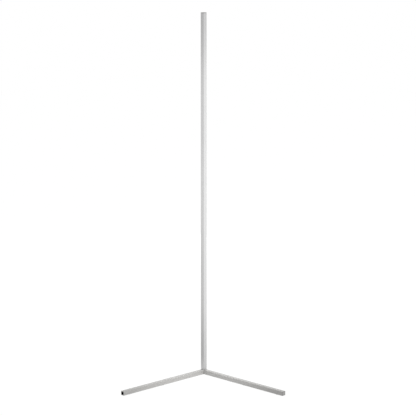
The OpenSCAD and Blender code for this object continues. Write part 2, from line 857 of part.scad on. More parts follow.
pole_profile();
opal_cover();
led_strip_board();
led_chips();
led_phosphors();
strip_resistors();
pole_top_cap();
corner_joint();
pole_screw();
left_leg_tube();
leg_tube();  // right_leg_tube
on_left_leg() leg_screws();  // left_leg_screws
leg_screws();  // right_leg_screws
right_leg_cap();
inlet_cap();
inlet_housing();
inlet_centre_pin();
inlet_spring_contact();
inlet_screw();
control_board();
control_board_tray();
control_chips();
control_capacitor();
supply_wire_positive();
supply_wire_negative();
strip_wire_positive();
strip_wire_negative();
corner_pad();
on_left_leg() leg_pads();  // left_leg_pads
leg_pads();  // right_leg_pads
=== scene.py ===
import json
import math

import bmesh
import bpy
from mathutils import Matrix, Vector


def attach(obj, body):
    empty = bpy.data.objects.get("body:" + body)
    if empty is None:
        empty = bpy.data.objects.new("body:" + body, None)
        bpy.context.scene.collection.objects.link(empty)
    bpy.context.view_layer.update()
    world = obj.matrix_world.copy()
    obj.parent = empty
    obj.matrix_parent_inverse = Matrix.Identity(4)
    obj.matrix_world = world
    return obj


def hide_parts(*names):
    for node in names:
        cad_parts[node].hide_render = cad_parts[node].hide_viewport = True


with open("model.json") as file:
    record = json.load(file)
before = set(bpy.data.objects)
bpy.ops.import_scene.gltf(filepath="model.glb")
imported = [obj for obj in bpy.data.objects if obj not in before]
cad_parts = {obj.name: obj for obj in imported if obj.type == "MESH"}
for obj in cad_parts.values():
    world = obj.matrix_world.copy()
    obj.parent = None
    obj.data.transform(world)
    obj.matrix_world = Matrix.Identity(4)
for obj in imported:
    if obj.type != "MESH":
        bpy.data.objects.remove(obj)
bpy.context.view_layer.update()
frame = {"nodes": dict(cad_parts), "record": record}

MM = 0.001
BODY = "root"
# The range that most values of a noise texture lie in
NOISE_RANGE = (0.3, 0.7)


# ---------- node trees ----------

def add_node(tree, kind, inputs=None, **settings):
    """Adds a node to a shader or geometry tree. Inputs are values, or sockets to link from."""
    made = tree.nodes.new(kind)
    for name, value in settings.items():
        setattr(made, name, value)
    for key, value in (inputs or {}).items():
        if isinstance(value, bpy.types.NodeSocket):
            tree.links.new(value, made.inputs[key])
        else:
            made.inputs[key].default_value = value
    return made


def linear(hex_code):
    """The linear colour of an sRGB hex code."""
    srgb = [int(hex_code[i:i + 2], 16) / 255 for i in (1, 3, 5)]
    return [c / 12.92 if c <= 0.04045 else ((c + 0.055) / 1.055) ** 2.4 for c in srgb] + [1.0]


def per_mm(size):
    """Texture scale, in repeats to a metre, of a pattern of this size in millimetres."""
    return 1 / (size * MM)


def new_finish(name, colour, metallic=0.0, roughness=0.5, **inputs):
    """A material whose Principled shader has these plain values, with its tree and its shader."""
    finish = bpy.data.materials.new(name)
    finish.use_nodes = True
    tree = finish.node_tree
    shader = tree.nodes["Principled BSDF"]
    shader.inputs["Base Color"].default_value = linear(colour)
    shader.inputs["Metallic"].default_value = metallic
    shader.inputs["Roughness"].default_value = roughness
    for socket, value in inputs.items():
        shader.inputs[socket.replace("_", " ")].default_value = value
    return finish, tree, shader


def grain(tree, size, detail=2.0):
    """Noise on Object coordinates whose grains have this size in mm along X, Y and Z."""
    place = add_node(tree, "ShaderNodeTexCoord").outputs["Object"]
    spread = add_node(tree, "ShaderNodeMapping", {
        "Vector": place, "Scale": [per_mm(s) for s in size]})
    return add_node(tree, "ShaderNodeTexNoise", {
        "Vector": spread.outputs["Vector"], "Scale": 1.0, "Detail": detail}).outputs["Fac"]


def vary(tree, shader, noise, shades=(), roughness=(), depth=0.0):
    """Varies a shader by a noise, over the range that most of its values lie in.

    The colour goes between two sRGB hex codes, the roughness between two values, and the surface
    rises and falls by a depth in mm."""
    if shades:
        ramp = add_node(tree, "ShaderNodeValToRGB", {"Fac": noise})
        for stop, at, shade in zip(ramp.color_ramp.elements, NOISE_RANGE, shades):
            stop.position = at
            stop.color = linear(shade)
        tree.links.new(ramp.outputs["Color"], shader.inputs["Base Color"])
    if roughness:
        spread = add_node(tree, "ShaderNodeMapRange", {
            "Value": noise, "From Min": NOISE_RANGE[0], "From Max": NOISE_RANGE[1],
            "To Min": roughness[0], "To Max": roughness[1]})
        tree.links.new(spread.outputs["Result"], shader.inputs["Roughness"])
    if depth:
        bump = add_node(tree, "ShaderNodeBump", {
            "Height": noise, "Distance": depth * MM, "Strength": 1.0})
        tree.links.new(bump.outputs["Normal"], shader.inputs["Normal"])


# ---------- finishes ----------

# How metallic a silver powder coat looks, by its fine flakes
PAINT_METALLIC = 0.2


def anodised_aluminium():
    """Extruded aluminium, etched and anodised: satin silver with faint die lines along it."""
    finish, tree, shader = new_finish("anodised_aluminium", "#C4C4C4", metallic=1.0)
    die_lines = grain(tree, (0.35, 0.35, 180))
    cloud = grain(tree, (9, 9, 60))
    vary(tree, shader, die_lines, shades=("#C1C1C1", "#C9C9C9"), depth=0.004)
    vary(tree, shader, cloud, roughness=(0.36, 0.42))
    return finish


def silver_paint():
    """Steel tube with a matt silver powder coat: fine metal flakes and a slight orange peel."""
    finish, tree, shader = new_finish("silver_painted_steel", "#B2B1AF", metallic=PAINT_METALLIC)
    flakes = grain(tree, (0.3, 0.3, 0.3))
    peel = grain(tree, (1.4, 1.4, 1.4), detail=1.0)
    vary(tree, shader, flakes, shades=("#ADACAA", "#B8B7B5"), roughness=(0.37, 0.43))
    vary(tree, shader, peel, depth=0.006)
    return finish


def silver_casting():
    """Die-cast joint under the same powder coat: a little softer and cloudier than the tubes."""
    finish, tree, shader = new_finish("silver_painted_casting", "#B2B1AF", metallic=PAINT_METALLIC)
    skin = grain(tree, (0.7, 0.7, 0.7), detail=4.0)
    vary(tree, shader, skin, ("#AEADAB", "#B6B5B3"), (0.39, 0.47), depth=0.008)
    return finish


def fine_skinned(name, dark, light, rough, skin_grain=0.35):
    """Plastic, rubber, lacquer or sheet: its skin is slightly uneven in shade, gloss and height.

    The skin's grain is in mm, and starts from that of spark-eroded moulds."""
    finish, tree, shader = new_finish(name, light)
    skin = grain(tree, (skin_grain, skin_grain, skin_grain), detail=3.0)
    vary(tree, shader, skin, (dark, light), (rough - 0.05, rough + 0.05), depth=0.01)
    return finish


def opal_polycarbonate():
    """Extruded opal polycarbonate: milky, lets some light through, with faint lines along it."""
    finish, tree, shader = new_finish(
        "opal_polycarbonate", "#F4F4F1", roughness=0.4, IOR=1.585, Transmission_Weight=0.15,
        Subsurface_Weight=0.3, Subsurface_Scale=2 * MM)
    lines = grain(tree, (0.8, 0.8, 200))
    vary(tree, shader, lines, ("#F1F1ED", "#F7F7F4"), (0.37, 0.43), depth=0.004)
    return finish


def blackened_steel():
    """Black-oxide screws: dark, slightly brown, with a dull metallic shine."""
    finish, tree, shader = new_finish("black_oxide_steel", "#34322F", metallic=1.0)
    skin = grain(tree, (0.25, 0.25, 0.25), detail=3.0)
    vary(tree, shader, skin, ("#2E2C2A", "#3F3C38"), (0.38, 0.5))
    return finish


def rolled_aluminium():
    """Drawn aluminium can: bright, with fine lines round it."""
    finish, tree, shader = new_finish("rolled_aluminium", "#D4D4D5", metallic=1.0)
    lines = grain(tree, (5, 5, 0.12))
    vary(tree, shader, lines, ("#CACACB", "#DCDCDD"), (0.22, 0.34))
    return finish


def plated_brass():
    """Tin-plated brass contact: pale gold under a thin bright plating, with faint drawing lines."""
    finish, tree, shader = new_finish("plated_brass", "#D9CFB0", metallic=1.0)
    lines = grain(tree, (0.15, 6, 0.15))
    vary(tree, shader, lines, ("#D2C6A2", "#E0D8BE"), (0.2, 0.3))
    return finish


FINISHES = {
    "anodised_aluminium": anodised_aluminium(),
    "painted_steel": silver_paint(),
    "cast_joint": silver_casting(),
    "opal_plastic": opal_polycarbonate(),
    # Moulded nylon, finely spark-eroded: matt grey end caps, a lighter and silvery end plate, and
    # a deep black inlet housing
    "grey_cap_plastic": fine_skinned("grey_moulded_nylon", "#989795", "#A2A19F", 0.45),
    "silver_cap_plastic": fine_skinned("silver_moulded_nylon", "#B0AFAD", "#BAB9B7", 0.42),
    "black_plastic": fine_skinned("black_moulded_nylon", "#0A0A0B", "#101011", 0.65),
    "plated_contact": plated_brass(),
    "dark_screw": blackened_steel(),
    # Moulded rubber: dull and charcoal black, with a coarser skin than the plastics
    "rubber_pad": fine_skinned("black_rubber", "#262626", "#323232", 0.8, skin_grain=0.6),
    # Printed solder mask: a satin lacquer, bright white on the light strip, deep green on the board
    "white_board": fine_skinned("white_solder_mask", "#ECEBE7", "#F3F2EF", 0.4, skin_grain=0.8),
    "green_board": fine_skinned("green_solder_mask", "#1B5A36", "#236B41", 0.35, skin_grain=1.5),
    # Pressed fibre sheet of the board's tray: dull and pale grey like card
    "tray_plastic": fine_skinned("grey_fibre_sheet", "#C2C1BD", "#D0CFCB", 0.7, skin_grain=0.9),
    # Light chips: a smooth white moulding round a window of cast gel, yellow and a little glossy
    "chip_body": fine_skinned("white_chip_plastic", "#EFEEEA", "#F6F5F2", 0.4, skin_grain=0.5),
    "phosphor": fine_skinned("yellow_phosphor_gel", "#D9B04A", "#E8C765", 0.3, skin_grain=0.3),
    # Moulded epoxy of chips and resistors: satin black
    "black_component": fine_skinned("black_epoxy", "#161617", "#202021", 0.5, skin_grain=0.4),
    "capacitor_can": rolled_aluminium(),
    # Extruded insulation of the wires: smooth, with a soft shine
    "red_insulation": fine_skinned("red_insulation", "#A31C18", "#B4231E", 0.45, skin_grain=0.8),
    "black_insulation": fine_skinned(
        "black_insulation", "#151516", "#1E1E1F", 0.45, skin_grain=0.8),
}

SLOTS = {subpart["node"]: subpart["material_slot"] for subpart in frame["record"]["subparts"]}
for node_name, slot_name in SLOTS.items():
    mesh = frame["nodes"][node_name].data
    mesh.materials.clear()
    mesh.materials.append(FINISHES[slot_name])


# ---------- making pieces ----------

def new_object(name, data):
    """An object with this mesh, lamp or camera, in the scene."""
    made = bpy.data.objects.new(name, data)
    bpy.context.scene.collection.objects.link(made)
    return made


def place_piece(piece, replaced=()):
    """Puts a finished piece on the one body and the CAD nodes that it stands for."""
    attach(piece, BODY)
    if replaced:
        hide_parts(*replaced)


def keep_result(piece):
    """Turns what the piece's modifiers make into its own plain mesh."""
    bpy.context.view_layer.update()
    evaluated = piece.evaluated_get(bpy.context.evaluated_depsgraph_get())
    result = bpy.data.meshes.new_from_object(evaluated)
    result.name = piece.name
    piece.modifiers.clear()
    piece.data = result


def shade_piece(piece, crisp=35):
    """Smooth shading that keeps flat faces flat and edges sharper than this angle crisp."""
    mesh = piece.data
    mesh.polygons.foreach_set("use_smooth", [True] * len(mesh.polygons))
    mesh.set_sharp_from_angle(angle=math.radians(crisp))
    flats_first = piece.modifiers.new("flats_first", "WEIGHTED_NORMAL")
    flats_first.keep_sharp = True
    keep_result(piece)


def eased_copy(name, node_name, ease, eased_edge):
    """Stands for a CAD node with its shape, and rounds off some of its sharp edges by this many mm.

    eased_edge tells from a point in mm whether an edge whose two ends pass it is rounded off.
    An edge counts as sharp from 30 degrees."""
    shape = bmesh.new()
    shape.from_mesh(frame["nodes"][node_name].data)
    bmesh.ops.remove_doubles(shape, verts=shape.verts, dist=0.001 * MM)
    bmesh.ops.dissolve_limit(
        shape, angle_limit=math.radians(0.5), verts=shape.verts, edges=shape.edges)
    weights = [float(edge.calc_face_angle(0) > math.radians(30)
                     and all(eased_edge(*(vertex.co / MM)) for vertex in edge.verts))
               for edge in shape.edges]
    mesh = bpy.data.meshes.new(name)
    shape.to_mesh(mesh)
    shape.free()
    mesh.attributes.new("bevel_weight_edge", "FLOAT", "EDGE").data.foreach_set("value", weights)
    piece = new_object(name, mesh)
    easing = piece.modifiers.new("eased_edges", "BEVEL")
    easing.width = ease * MM
    easing.segments = 2
    easing.limit_method = "WEIGHT"
    easing.use_clamp_overlap = False
    easing.loop_slide = False
    keep_result(piece)
    shade_piece(piece, crisp=50)
    piece.data.materials.clear()
    piece.data.materials.append(FINISHES[SLOTS[node_name]])
    place_piece(piece, [node_name])


def new_tree(name, inputs):
    """A geometry tree that takes a shape and these named inputs, with its input sockets."""
    tree = bpy.data.node_groups.new(name, "GeometryNodeTree")
    tree.interface.new_socket("Result", in_out="OUTPUT", socket_type="NodeSocketGeometry")
    tree.interface.new_socket("Shape", in_out="INPUT", socket_type="NodeSocketGeometry")
    for label, kind in inputs.items():
        tree.interface.new_socket(label, in_out="INPUT", socket_type="NodeSocket" + kind)
    return tree, tree.nodes.new("NodeGroupInput").outputs


def end_tree(tree, geometry, finish):
    """Ends a geometry tree in real geometry with its finish."""
    real = add_node(tree, "GeometryNodeRealizeInstances", {"Geometry": geometry})
    done = add_node(tree, "GeometryNodeSetMaterial", {
        "Geometry": real.outputs[0], "Material": finish})
    add_node(tree, "NodeGroupOutput", {"Result": done.outputs[0]})
    return tree


def row_tree():
    """Repeats a shape in a straight row, then turns the row and moves it into place."""
    tree, given = new_tree("row", {
        "Count": "Int", "First": "Vector", "Step": "Vector", "Turn": "Vector", "Place": "Vector",
        "Finish": "Material"})
    line = add_node(tree, "GeometryNodeMeshLine", {
        "Count": given["Count"], "Start Location": given["First"], "Offset": given["Step"]})
    copies = add_node(tree, "GeometryNodeInstanceOnPoints", {
        "Points": line.outputs[0], "Instance": given["Shape"]})
    placed = add_node(tree, "GeometryNodeTransform", {
        "Geometry": copies.outputs[0], "Translation": given["Place"], "Rotation": given["Turn"]})
    return end_tree(tree, placed.outputs[0], given["Finish"])


def wire_tree():
    """Rounds the corners of a route and runs a round wire along it."""
    tree, given = new_tree("wire", {
        "Bend radius": "Float", "Wire radius": "Float", "Finish": "Material"})
    route = add_node(tree, "GeometryNodeMeshToCurve", {"Mesh": given["Shape"]})
    bent = add_node(tree, "GeometryNodeFilletCurve", {
        "Curve": route.outputs[0], "Radius": given["Bend radius"], "Limit Radius": True,
        "Count": 8}, mode="POLY")
    section = add_node(tree, "GeometryNodeCurvePrimitiveCircle", {
        "Radius": given["Wire radius"], "Resolution": 16})
    wire = add_node(tree, "GeometryNodeCurveToMesh", {
        "Curve": bent.outputs[0], "Profile Curve": section.outputs[0], "Fill Caps": True})
    return end_tree(tree, wire.outputs[0], given["Finish"])


def grown(name, mesh, tree, values, slot_name, replaced=()):
    """Runs a geometry tree on a mesh with these inputs and keeps the result as a piece."""
    piece = new_object(name, mesh)
    growth = piece.modifiers.new(tree.name, "NODES")
    growth.node_group = tree
    values = {**values, "Finish": FINISHES[slot_name]}
    for item in tree.interface.items_tree:
        if item.in_out == "INPUT" and item.name in values:
            growth[item.identifier] = values[item.name]
    keep_result(piece)
    shade_piece(piece)
    place_piece(piece, replaced)


ROW = row_tree()
WIRE = wire_tree()


def in_metres(point):
    return tuple(c * MM for c in point)


def row(name, mesh, count, first, step, slot_name, replaced=(), turn=(0, 0, 0), place=(0, 0, 0)):
    """A row of copies of a mesh: places and steps in mm, the turn in degrees round X, Y and Z."""
    grown(name, mesh, ROW, {
        "Count": count, "First": in_metres(first), "Step": in_metres(step),
        "Turn": [math.radians(a) for a in turn], "Place": in_metres(place)}, slot_name, replaced)


def single(name, mesh, at, slot_name, replaced=(), **row_frame):
    """One copy of a mesh at a place in mm, in the frame of a row."""
    row(name, mesh, 1, at, (0, 0, 0), slot_name, replaced, **row_frame)


def wire(name, node_name, corners, bend):
    """Insulated wire through these corners in mm, in place of its CAD node."""
    route = bpy.data.meshes.new(name + "_route")
    route.from_pydata(
        [in_metres(c) for c in corners], [(i, i + 1) for i in range(len(corners) - 1)], [])
    grown(name, route, WIRE, {
        "Bend radius": bend * MM, "Wire radius": WIRE_D / 2 * MM}, SLOTS[node_name], [node_name])


def ring_mesh(name, *ring_sets):
    """Mesh of closed solids in mm, each through rings of points, from the first to the last.

    All rings of a solid have the same number of points. Where the last ring is the first one
    again, the solid closes in a loop, and otherwise with two caps."""
    points, faces = [], []
    for rings in ring_sets:
        looped = rings[0] == rings[-1]
        rings = rings[:-1] if looped else rings
        start, sides, last = len(points), len(rings[0]), len(rings) - 1
        points += [in_metres(p) for ring in rings for p in ring]
        if not looped:
            faces.append([start + k for k in reversed(range(sides))])
            faces.append([start + last * sides + k for k in range(sides)])
        for i in range(len(rings) if looped else last):
            a, b = start + i * sides, start + (i + 1) % len(rings) * sides
            faces += [
                (a + k, a + (k + 1) % sides, b + (k + 1) % sides, b + k) for k in range(sides)]
    mesh = bpy.data.meshes.new(name)
    mesh.from_pydata(points, [], faces)
    return mesh


def turned(profile, sides):
    """Rings round the Z axis. The profile gives heights and radii.

    A radius is a number or a function of the angle."""
    angles = [2 * math.pi * k / sides for k in range(sides)]
    rings = []
    for z, r in profile:
        radii = [r(a) if callable(r) else r for a in angles]
        rings.append([
            (radius * math.cos(a), radius * math.sin(a), z) for a, radius in zip(angles, radii)])
    return rings


def block(size, centre, ease):
    """Rings of a small block in mm, with its top and upright edges eased."""
    hx, hy, hz = (s / 2 for s in size)
    cx, cy, cz = centre
    rings = []
    for inset, z in ((0, -hz), (0, hz - ease), (ease, hz)):
        x, y, c = hx - inset, hy - inset, ease
        outline = ((x, c - y), (x, y - c), (x - c, y), (c - x, y),
                   (-x, y - c), (-x, c - y), (c - x, -y), (x - c, -y))
        rings.append([(cx + px, cy + py, cz + z) for px, py in outline])
    return rings


def standing(size, ease):
    """Rings of a block that stands on Z = 0."""
    return block(size, (0, 0, size[2] / 2), ease)


# ---------- sizes in mm, as in the part's source ----------

PAD_T = 1.5
SECTION_W = 16
JOINT_TOP = PAD_T + SECTION_W
AXIS_Z = PAD_T + SECTION_W / 2
HALF_W = SECTION_W / 2
# The opal cover's rounded edge, towards the room's corner
COVER_EDGE_R = 3
# Where the pole profile meets its cap, and the leg tubes meet their end plates
POLE_END = 1398
LEG_END = 424
STRIP_BACK = 11.2
CHIP_COUNT = 81
CHIP_PITCH = 16.6
FIRST_CHIP_Z = 42.75
CHIP_W = 5
CHIP_H = 1.5
WINDOW_R = 1.9
WINDOW_DEPTH = 0.3
CHIPS_PER_CIRCUIT = 3
RESISTOR_W, RESISTOR_H, RESISTOR_L = 1.6, 0.6, 3.2
SOLDER_PAD_ACROSS = 3
POLE_SCREW_AT = (4, -4, 2.1)
LEG_SCREW_AT, LEG_SCREW_PITCH = 20, 18
INLET_SCREW_AT = 407
LEG_PAD_AT, LEG_PAD_PITCH, LEG_PAD_R = 220.5, 172.5, 6.0
WIRE_D = 1.3
WIRE_X = (-2.466, -1.066)
WIRE_Y = -5.95
WIRE_LOW = 3.45
WIRE_ON_BOARD = 6.05
BOARD_TOP = 5.4
RADIO_AT, RADIO_W, RADIO_H = 130.1, 5, 1.2
DRIVER_AT, DRIVER_L, DRIVER_W, DRIVER_H = 143.2, 12, 8, 2
COIL_AT, COIL_W, COIL_H = 156.3, 5, 3
CAPACITOR_AT, CAPACITOR_W, CAPACITOR_H, CAPACITOR_BASE_H = 165.9, 5, 5.4, 0.8
RECESS_R = 5.9
PIN_TAIL, PIN_SHOULDER, PIN_TIP = 400, 410, 418
SPRING_TAIL_Z = 13.8
# Frame of the light strip: X runs across it, Y down the pole and Z out of it, towards the cover
STRIP_FRAME = {"turn": (-90, 0, 45), "place": (HALF_W, -HALF_W, 0)}
# Frame of the left leg's board: X runs along the leg to its tip, Z up
BOARD_FRAME = {"turn": (0, 0, -90)}
# Frame of the power inlet: Z runs along the left leg's centre line to its tip
INLET_FRAME = {"turn": (90, 0, 0), "place": (0, 0, AXIS_Z)}


# ---------- pole, joint, legs and caps: the CAD shapes with eased edges ----------

# How near a point has to be to a plane, to the square outline or to a curve, to count as on it
NEAR_PLANE = 0.01
NEAR_OUTLINE = 0.45
NEAR_CURVE = 0.1


def on_rim(across, along):
    """Whether a point of the square section, from its centre in mm, is on its outline."""
    middle = HALF_W - COVER_EDGE_R
    from_round = math.hypot(across + middle, along - middle)
    on_round = (across < NEAR_CURVE - middle and along > middle - NEAR_CURVE
                and from_round > COVER_EDGE_R - NEAR_CURVE)
    return on_round or max(abs(across), abs(along)) > HALF_W - NEAR_OUTLINE


def pole_rim(x, y, z):
    return on_rim(x, y)


def pole_cap_rim(x, y, z):
    return on_rim(x, y) and abs(z - POLE_END) < NEAR_PLANE


def right_leg_rim(x, y, z):
    return on_rim(y, z - AXIS_Z)


def right_cap_rim(x, y, z):
    return right_leg_rim(x, y, z) and abs(x - LEG_END) < NEAR_PLANE


def left_leg_rim(x, y, z):
    return on_rim(x, z - AXIS_Z)


def inlet_cap_rim(x, y, z):
    return left_leg_rim(x, y, z) and abs(y + LEG_END) < NEAR_PLANE


def inlet_mouth(x, y, z):
    return y < NEAR_CURVE - LEG_END and math.hypot(x, z - AXIS_Z) < RECESS_R + NEAR_CURVE / 2


def joint_rim(x, y, z):
    on_end = min(abs(z - PAD_T), abs(z - JOINT_TOP)) < NEAR_PLANE
    return on_end and on_rim(x, y) and max(abs(x), abs(y)) < HALF_W + NEAR_PLANE


def underside(x, y, z):
    return z < NEAR_PLANE


def everywhere(x, y, z):
    return True


for piece_name, node_name, ease, eased_edge in (
    ("pole_extrusion", "pole_profile", 0.15, pole_rim),
    ("opal_diffuser", "opal_cover", 0.2, pole_rim),
    ("pole_end_cap", "pole_top_cap", 0.15, pole_cap_rim),
    ("joint_casting", "corner_joint", 0.2, joint_rim),
    ("left_tube", "left_leg_tube", 0.15, left_leg_rim),
    ("right_tube", "right_leg_tube", 0.15, right_leg_rim),
    ("right_end_cap", "right_leg_cap", 0.15, right_cap_rim),
    ("inlet_end_plate", "inlet_cap", 0.15, inlet_cap_rim),
    ("inlet_body", "inlet_housing", 0.2, inlet_mouth),
    ("joint_pad", "corner_pad", 0.3, underside),
    ("circuit_board", "control_board", 0.1, everywhere),
    ("board_tray", "control_board_tray", 0.1, everywhere),
    ("spring_contact", "inlet_spring_contact", 0.08, everywhere),
):
    eased_copy(piece_name, node_name, ease, eased_edge)


# ---------- light strip ----------

def square_radius(side):
    """Radius of a square outline, by the angle."""
    return lambda a: side / 2 / max(abs(math.cos(a)), abs(math.sin(a)))


def strip_row(name, mesh, count, first_z, pitch, slot_name, replaced=()):
    """A row on the light strip's surface, from a height in mm upwards."""
    row(name, mesh, count, (0, -first_z, STRIP_BACK), (0, -pitch, 0), slot_name, replaced,
        **STRIP_FRAME)


CHIP_ROW = {"count": CHIP_COUNT, "first_z": FIRST_CHIP_Z, "pitch": CHIP_PITCH}
CHIP_EASE = 0.15
chip_body = ring_mesh("chip_body", turned([
    (0, square_radius(CHIP_W)), (CHIP_H - CHIP_EASE, square_radius(CHIP_W)),
    (CHIP_H, square_radius(CHIP_W - 2 * CHIP_EASE)), (CHIP_H, WINDOW_R),
    (CHIP_H - WINDOW_DEPTH, WINDOW_R)], 32))
strip_row("strip_chip_bodies", chip_body, slot_name="chip_body", replaced=["led_chips"], **CHIP_ROW)

CHIP_LEAD_OUT, CHIP_LEAD_W, CHIP_LEAD_H, CHIP_LEAD_PITCH = 0.5, 1.0, 0.4, 1.6
chip_leads = ring_mesh("chip_leads", *[
    block((CHIP_LEAD_OUT, CHIP_LEAD_W, CHIP_LEAD_H),
          (side * (CHIP_W + CHIP_LEAD_OUT) / 2, along * CHIP_LEAD_PITCH, CHIP_LEAD_H / 2), 0.05)
    for side in (-1, 1) for along in (-1, 0, 1)])
strip_row("strip_chip_leads", chip_leads, slot_name="plated_contact", **CHIP_ROW)

# A resistor after the first chip of each circuit, with a metal end above and below its body
CIRCUIT_COUNT = CHIP_COUNT // CHIPS_PER_CIRCUIT
CIRCUIT_PITCH = CHIPS_PER_CIRCUIT * CHIP_PITCH
RESISTOR_ROW = {
    "count": CIRCUIT_COUNT, "first_z": FIRST_CHIP_Z + CHIP_PITCH / 2, "pitch": CIRCUIT_PITCH}
RESISTOR_END_L = 0.5
resistor_core = (RESISTOR_W - 0.1, RESISTOR_L - 2 * RESISTOR_END_L, RESISTOR_H - 0.05)
resistor_body = ring_mesh("resistor_body", standing(resistor_core, 0.05))
strip_row("strip_resistor_bodies", resistor_body, slot_name="black_component",
          replaced=["strip_resistors"], **RESISTOR_ROW)
resistor_ends = ring_mesh("resistor_ends", *[
    block((RESISTOR_W, RESISTOR_END_L, RESISTOR_H),
          (0, side * (RESISTOR_L - RESISTOR_END_L) / 2, RESISTOR_H / 2), 0.05)
    for side in (-1, 1)])
strip_row("strip_resistor_ends", resistor_ends, slot_name="plated_contact", **RESISTOR_ROW)

# Two pairs of solder pads after each circuit but the last, where the strip can be cut
SOLDER_PAD_W, SOLDER_PAD_L, SOLDER_PAD_H, SOLDER_PAD_PITCH = 2.2, 1.9, 0.06, 2.3
solder_pads = ring_mesh("solder_pads", *[
    block((SOLDER_PAD_W, SOLDER_PAD_L, SOLDER_PAD_H),
          (side * SOLDER_PAD_ACROSS, half_pad * SOLDER_PAD_PITCH / 2, SOLDER_PAD_H / 2), 0.02)
    for side in (-1, 1) for half_pad in (-1, 1)])
strip_row("strip_solder_pads", solder_pads, CIRCUIT_COUNT - 1,
          FIRST_CHIP_Z + (CHIPS_PER_CIRCUIT - 0.5) * CHIP_PITCH, CIRCUIT_PITCH, "plated_contact")


# ---------- screws ----------

def hexagon_radius(across_flats):
    """Radius of a hexagonal outline, by the angle."""
    sector = math.pi / 3
    return lambda a: across_flats / 2 / math.cos(a % sector - sector / 2)


# Steps of a thread's profile to each of its turns
THREAD_STEPS = 8


def thread(start, end, radius, depth, pitch):
    """Profile of a screw thread whose flanks follow the angle."""
    steps = round((end - start) / pitch * THREAD_STEPS)

    def flank(z):
        return lambda a: radius - depth * abs(2 * ((z / pitch - a / (2 * math.pi)) % 1) - 1)

    heights = [start + (end - start) * i / steps for i in range(steps + 1)]
    return [(z, flank(z)) for z in heights]


def countersunk_screw():
    """M3 countersunk screw, 5 mm long, head down: hexagonal socket, cone, thread and narrow tip."""
    socket = hexagon_radius(2)
    m3_thread = thread(start=1.7, end=4.6, radius=1.49, depth=0.25, pitch=0.5)
    return ring_mesh("countersunk_screw", turned([
        (1.6, 0.3), (1.67, socket), (0.1, socket), (0, hexagon_radius(2.2)), (0, 2.7), (0.08, 2.8),
        (1.35, 1.5), (1.6, 1.25), *m3_thread, (5, 1.0)], 24))


def socket_head_screw():
    """M4 socket-head screw, 30 mm long, head down: knurled head, hexagonal socket and thread."""
    sides = 96

    def knurl(a):
        """Two points on the head's radius and two in a groove, in turn."""
        return 3.4 - 0.1 * (round(a / (2 * math.pi) * sides) % 4 > 1)

    socket = hexagon_radius(3)
    head = turned([
        (1.9, 0.4), (2, socket), (0.15, socket), (0, hexagon_radius(3.3)), (0, 3.0), (0.4, 3.38),
        (0.6, 3.38), (0.7, knurl), (3.6, knurl), (3.8, 3.38), (4, 3.3)], sides)
    m4_thread = thread(start=9.3, end=33.2, radius=1.99, depth=0.3, pitch=0.7)
    shank = turned([(3.99, 2.0), (9, 2.0), (9.2, 1.7), *m4_thread, (34, 1.4)], 24)
    return ring_mesh("socket_head_screw", head, shank)


LEG_SCREWS = {
    "count": 2, "first": (LEG_SCREW_AT, 0, PAD_T), "step": (LEG_SCREW_PITCH, 0, 0),
    "slot_name": "dark_screw"}
row("right_leg_screw_pair", countersunk_screw(), replaced=["right_leg_screws"], **LEG_SCREWS)
row("left_leg_screw_pair", countersunk_screw(), replaced=["left_leg_screws"], **LEG_SCREWS,
    **BOARD_FRAME)
single("inlet_body_screw", countersunk_screw(), (INLET_SCREW_AT, 0, PAD_T), "dark_screw",
       ["inlet_screw"], **BOARD_FRAME)
single("pole_fixing_screw", socket_head_screw(), POLE_SCREW_AT, "dark_screw", ["pole_screw"])


# ---------- rubber pads ----------

PAD_ROUND = 0.35


def round_pad():
    """Stuck-on rubber pad: a disc with a rounded lower edge and a slightly hollow underside."""
    edge = [(PAD_ROUND * (1 - math.sin(a)), LEG_PAD_R - PAD_ROUND * (1 - math.cos(a)))
            for a in (math.radians(d) for d in (90, 60, 30, 0))]
    return ring_mesh("round_pad", turned([(0.12, 1.5), (0, 4.2), *edge, (PAD_T, LEG_PAD_R)], 48))


LEG_PADS = {
    "count": 2, "first": (LEG_PAD_AT, 0, 0), "step": (LEG_PAD_PITCH, 0, 0),
    "slot_name": "rubber_pad"}
row("right_leg_pad_pair", round_pad(), replaced=["right_leg_pads"], **LEG_PADS)
row("left_leg_pad_pair", round_pad(), replaced=["left_leg_pads"], **LEG_PADS, **BOARD_FRAME)


# ---------- wires ----------

def beside_strip(across, back, z):
    """Point in mm from its place across the pole's diagonal and back along it."""
    return (HALF_W + (across - back) / math.sqrt(2), (across + back) / math.sqrt(2) - HALF_W, z)


# Where a wire is joined to the strip: its distance behind the pole's front edge, and its height
ABOVE_STRIP = STRIP_BACK + WIRE_D / 2
STRIP_JOINT_Z = 32
# Both wires of a pair lie side by side and low in the leg, and rise to the ends of the board
for pole_sign, x, across, tail_z in (
    ("positive", WIRE_X[0], -SOLDER_PAD_ACROSS, AXIS_Z),
    ("negative", WIRE_X[1], SOLDER_PAD_ACROSS, SPRING_TAIL_Z),
):
    wire("inlet_wire_" + pole_sign, "supply_wire_" + pole_sign, [
        (0, -PIN_TAIL, tail_z), (0, -394, tail_z), (x, -378, WIRE_LOW), (x, -197.3, WIRE_LOW),
        (x, -181.3, WIRE_ON_BOARD), (x, -175.5, WIRE_ON_BOARD)], 4)
    wire("light_wire_" + pole_sign, "strip_wire_" + pole_sign, [
        (x, -120.5, WIRE_ON_BOARD), (x, -114.7, WIRE_ON_BOARD), (x, -98.7, WIRE_LOW),
        (x, -70, WIRE_LOW), (x, -54, AXIS_Z), (x, WIRE_Y, AXIS_Z), (x, WIRE_Y, 20.5),
        beside_strip(across, ABOVE_STRIP, 26.5),
        beside_strip(across, ABOVE_STRIP, STRIP_JOINT_Z)], 2)


# ---------- power inlet ----------

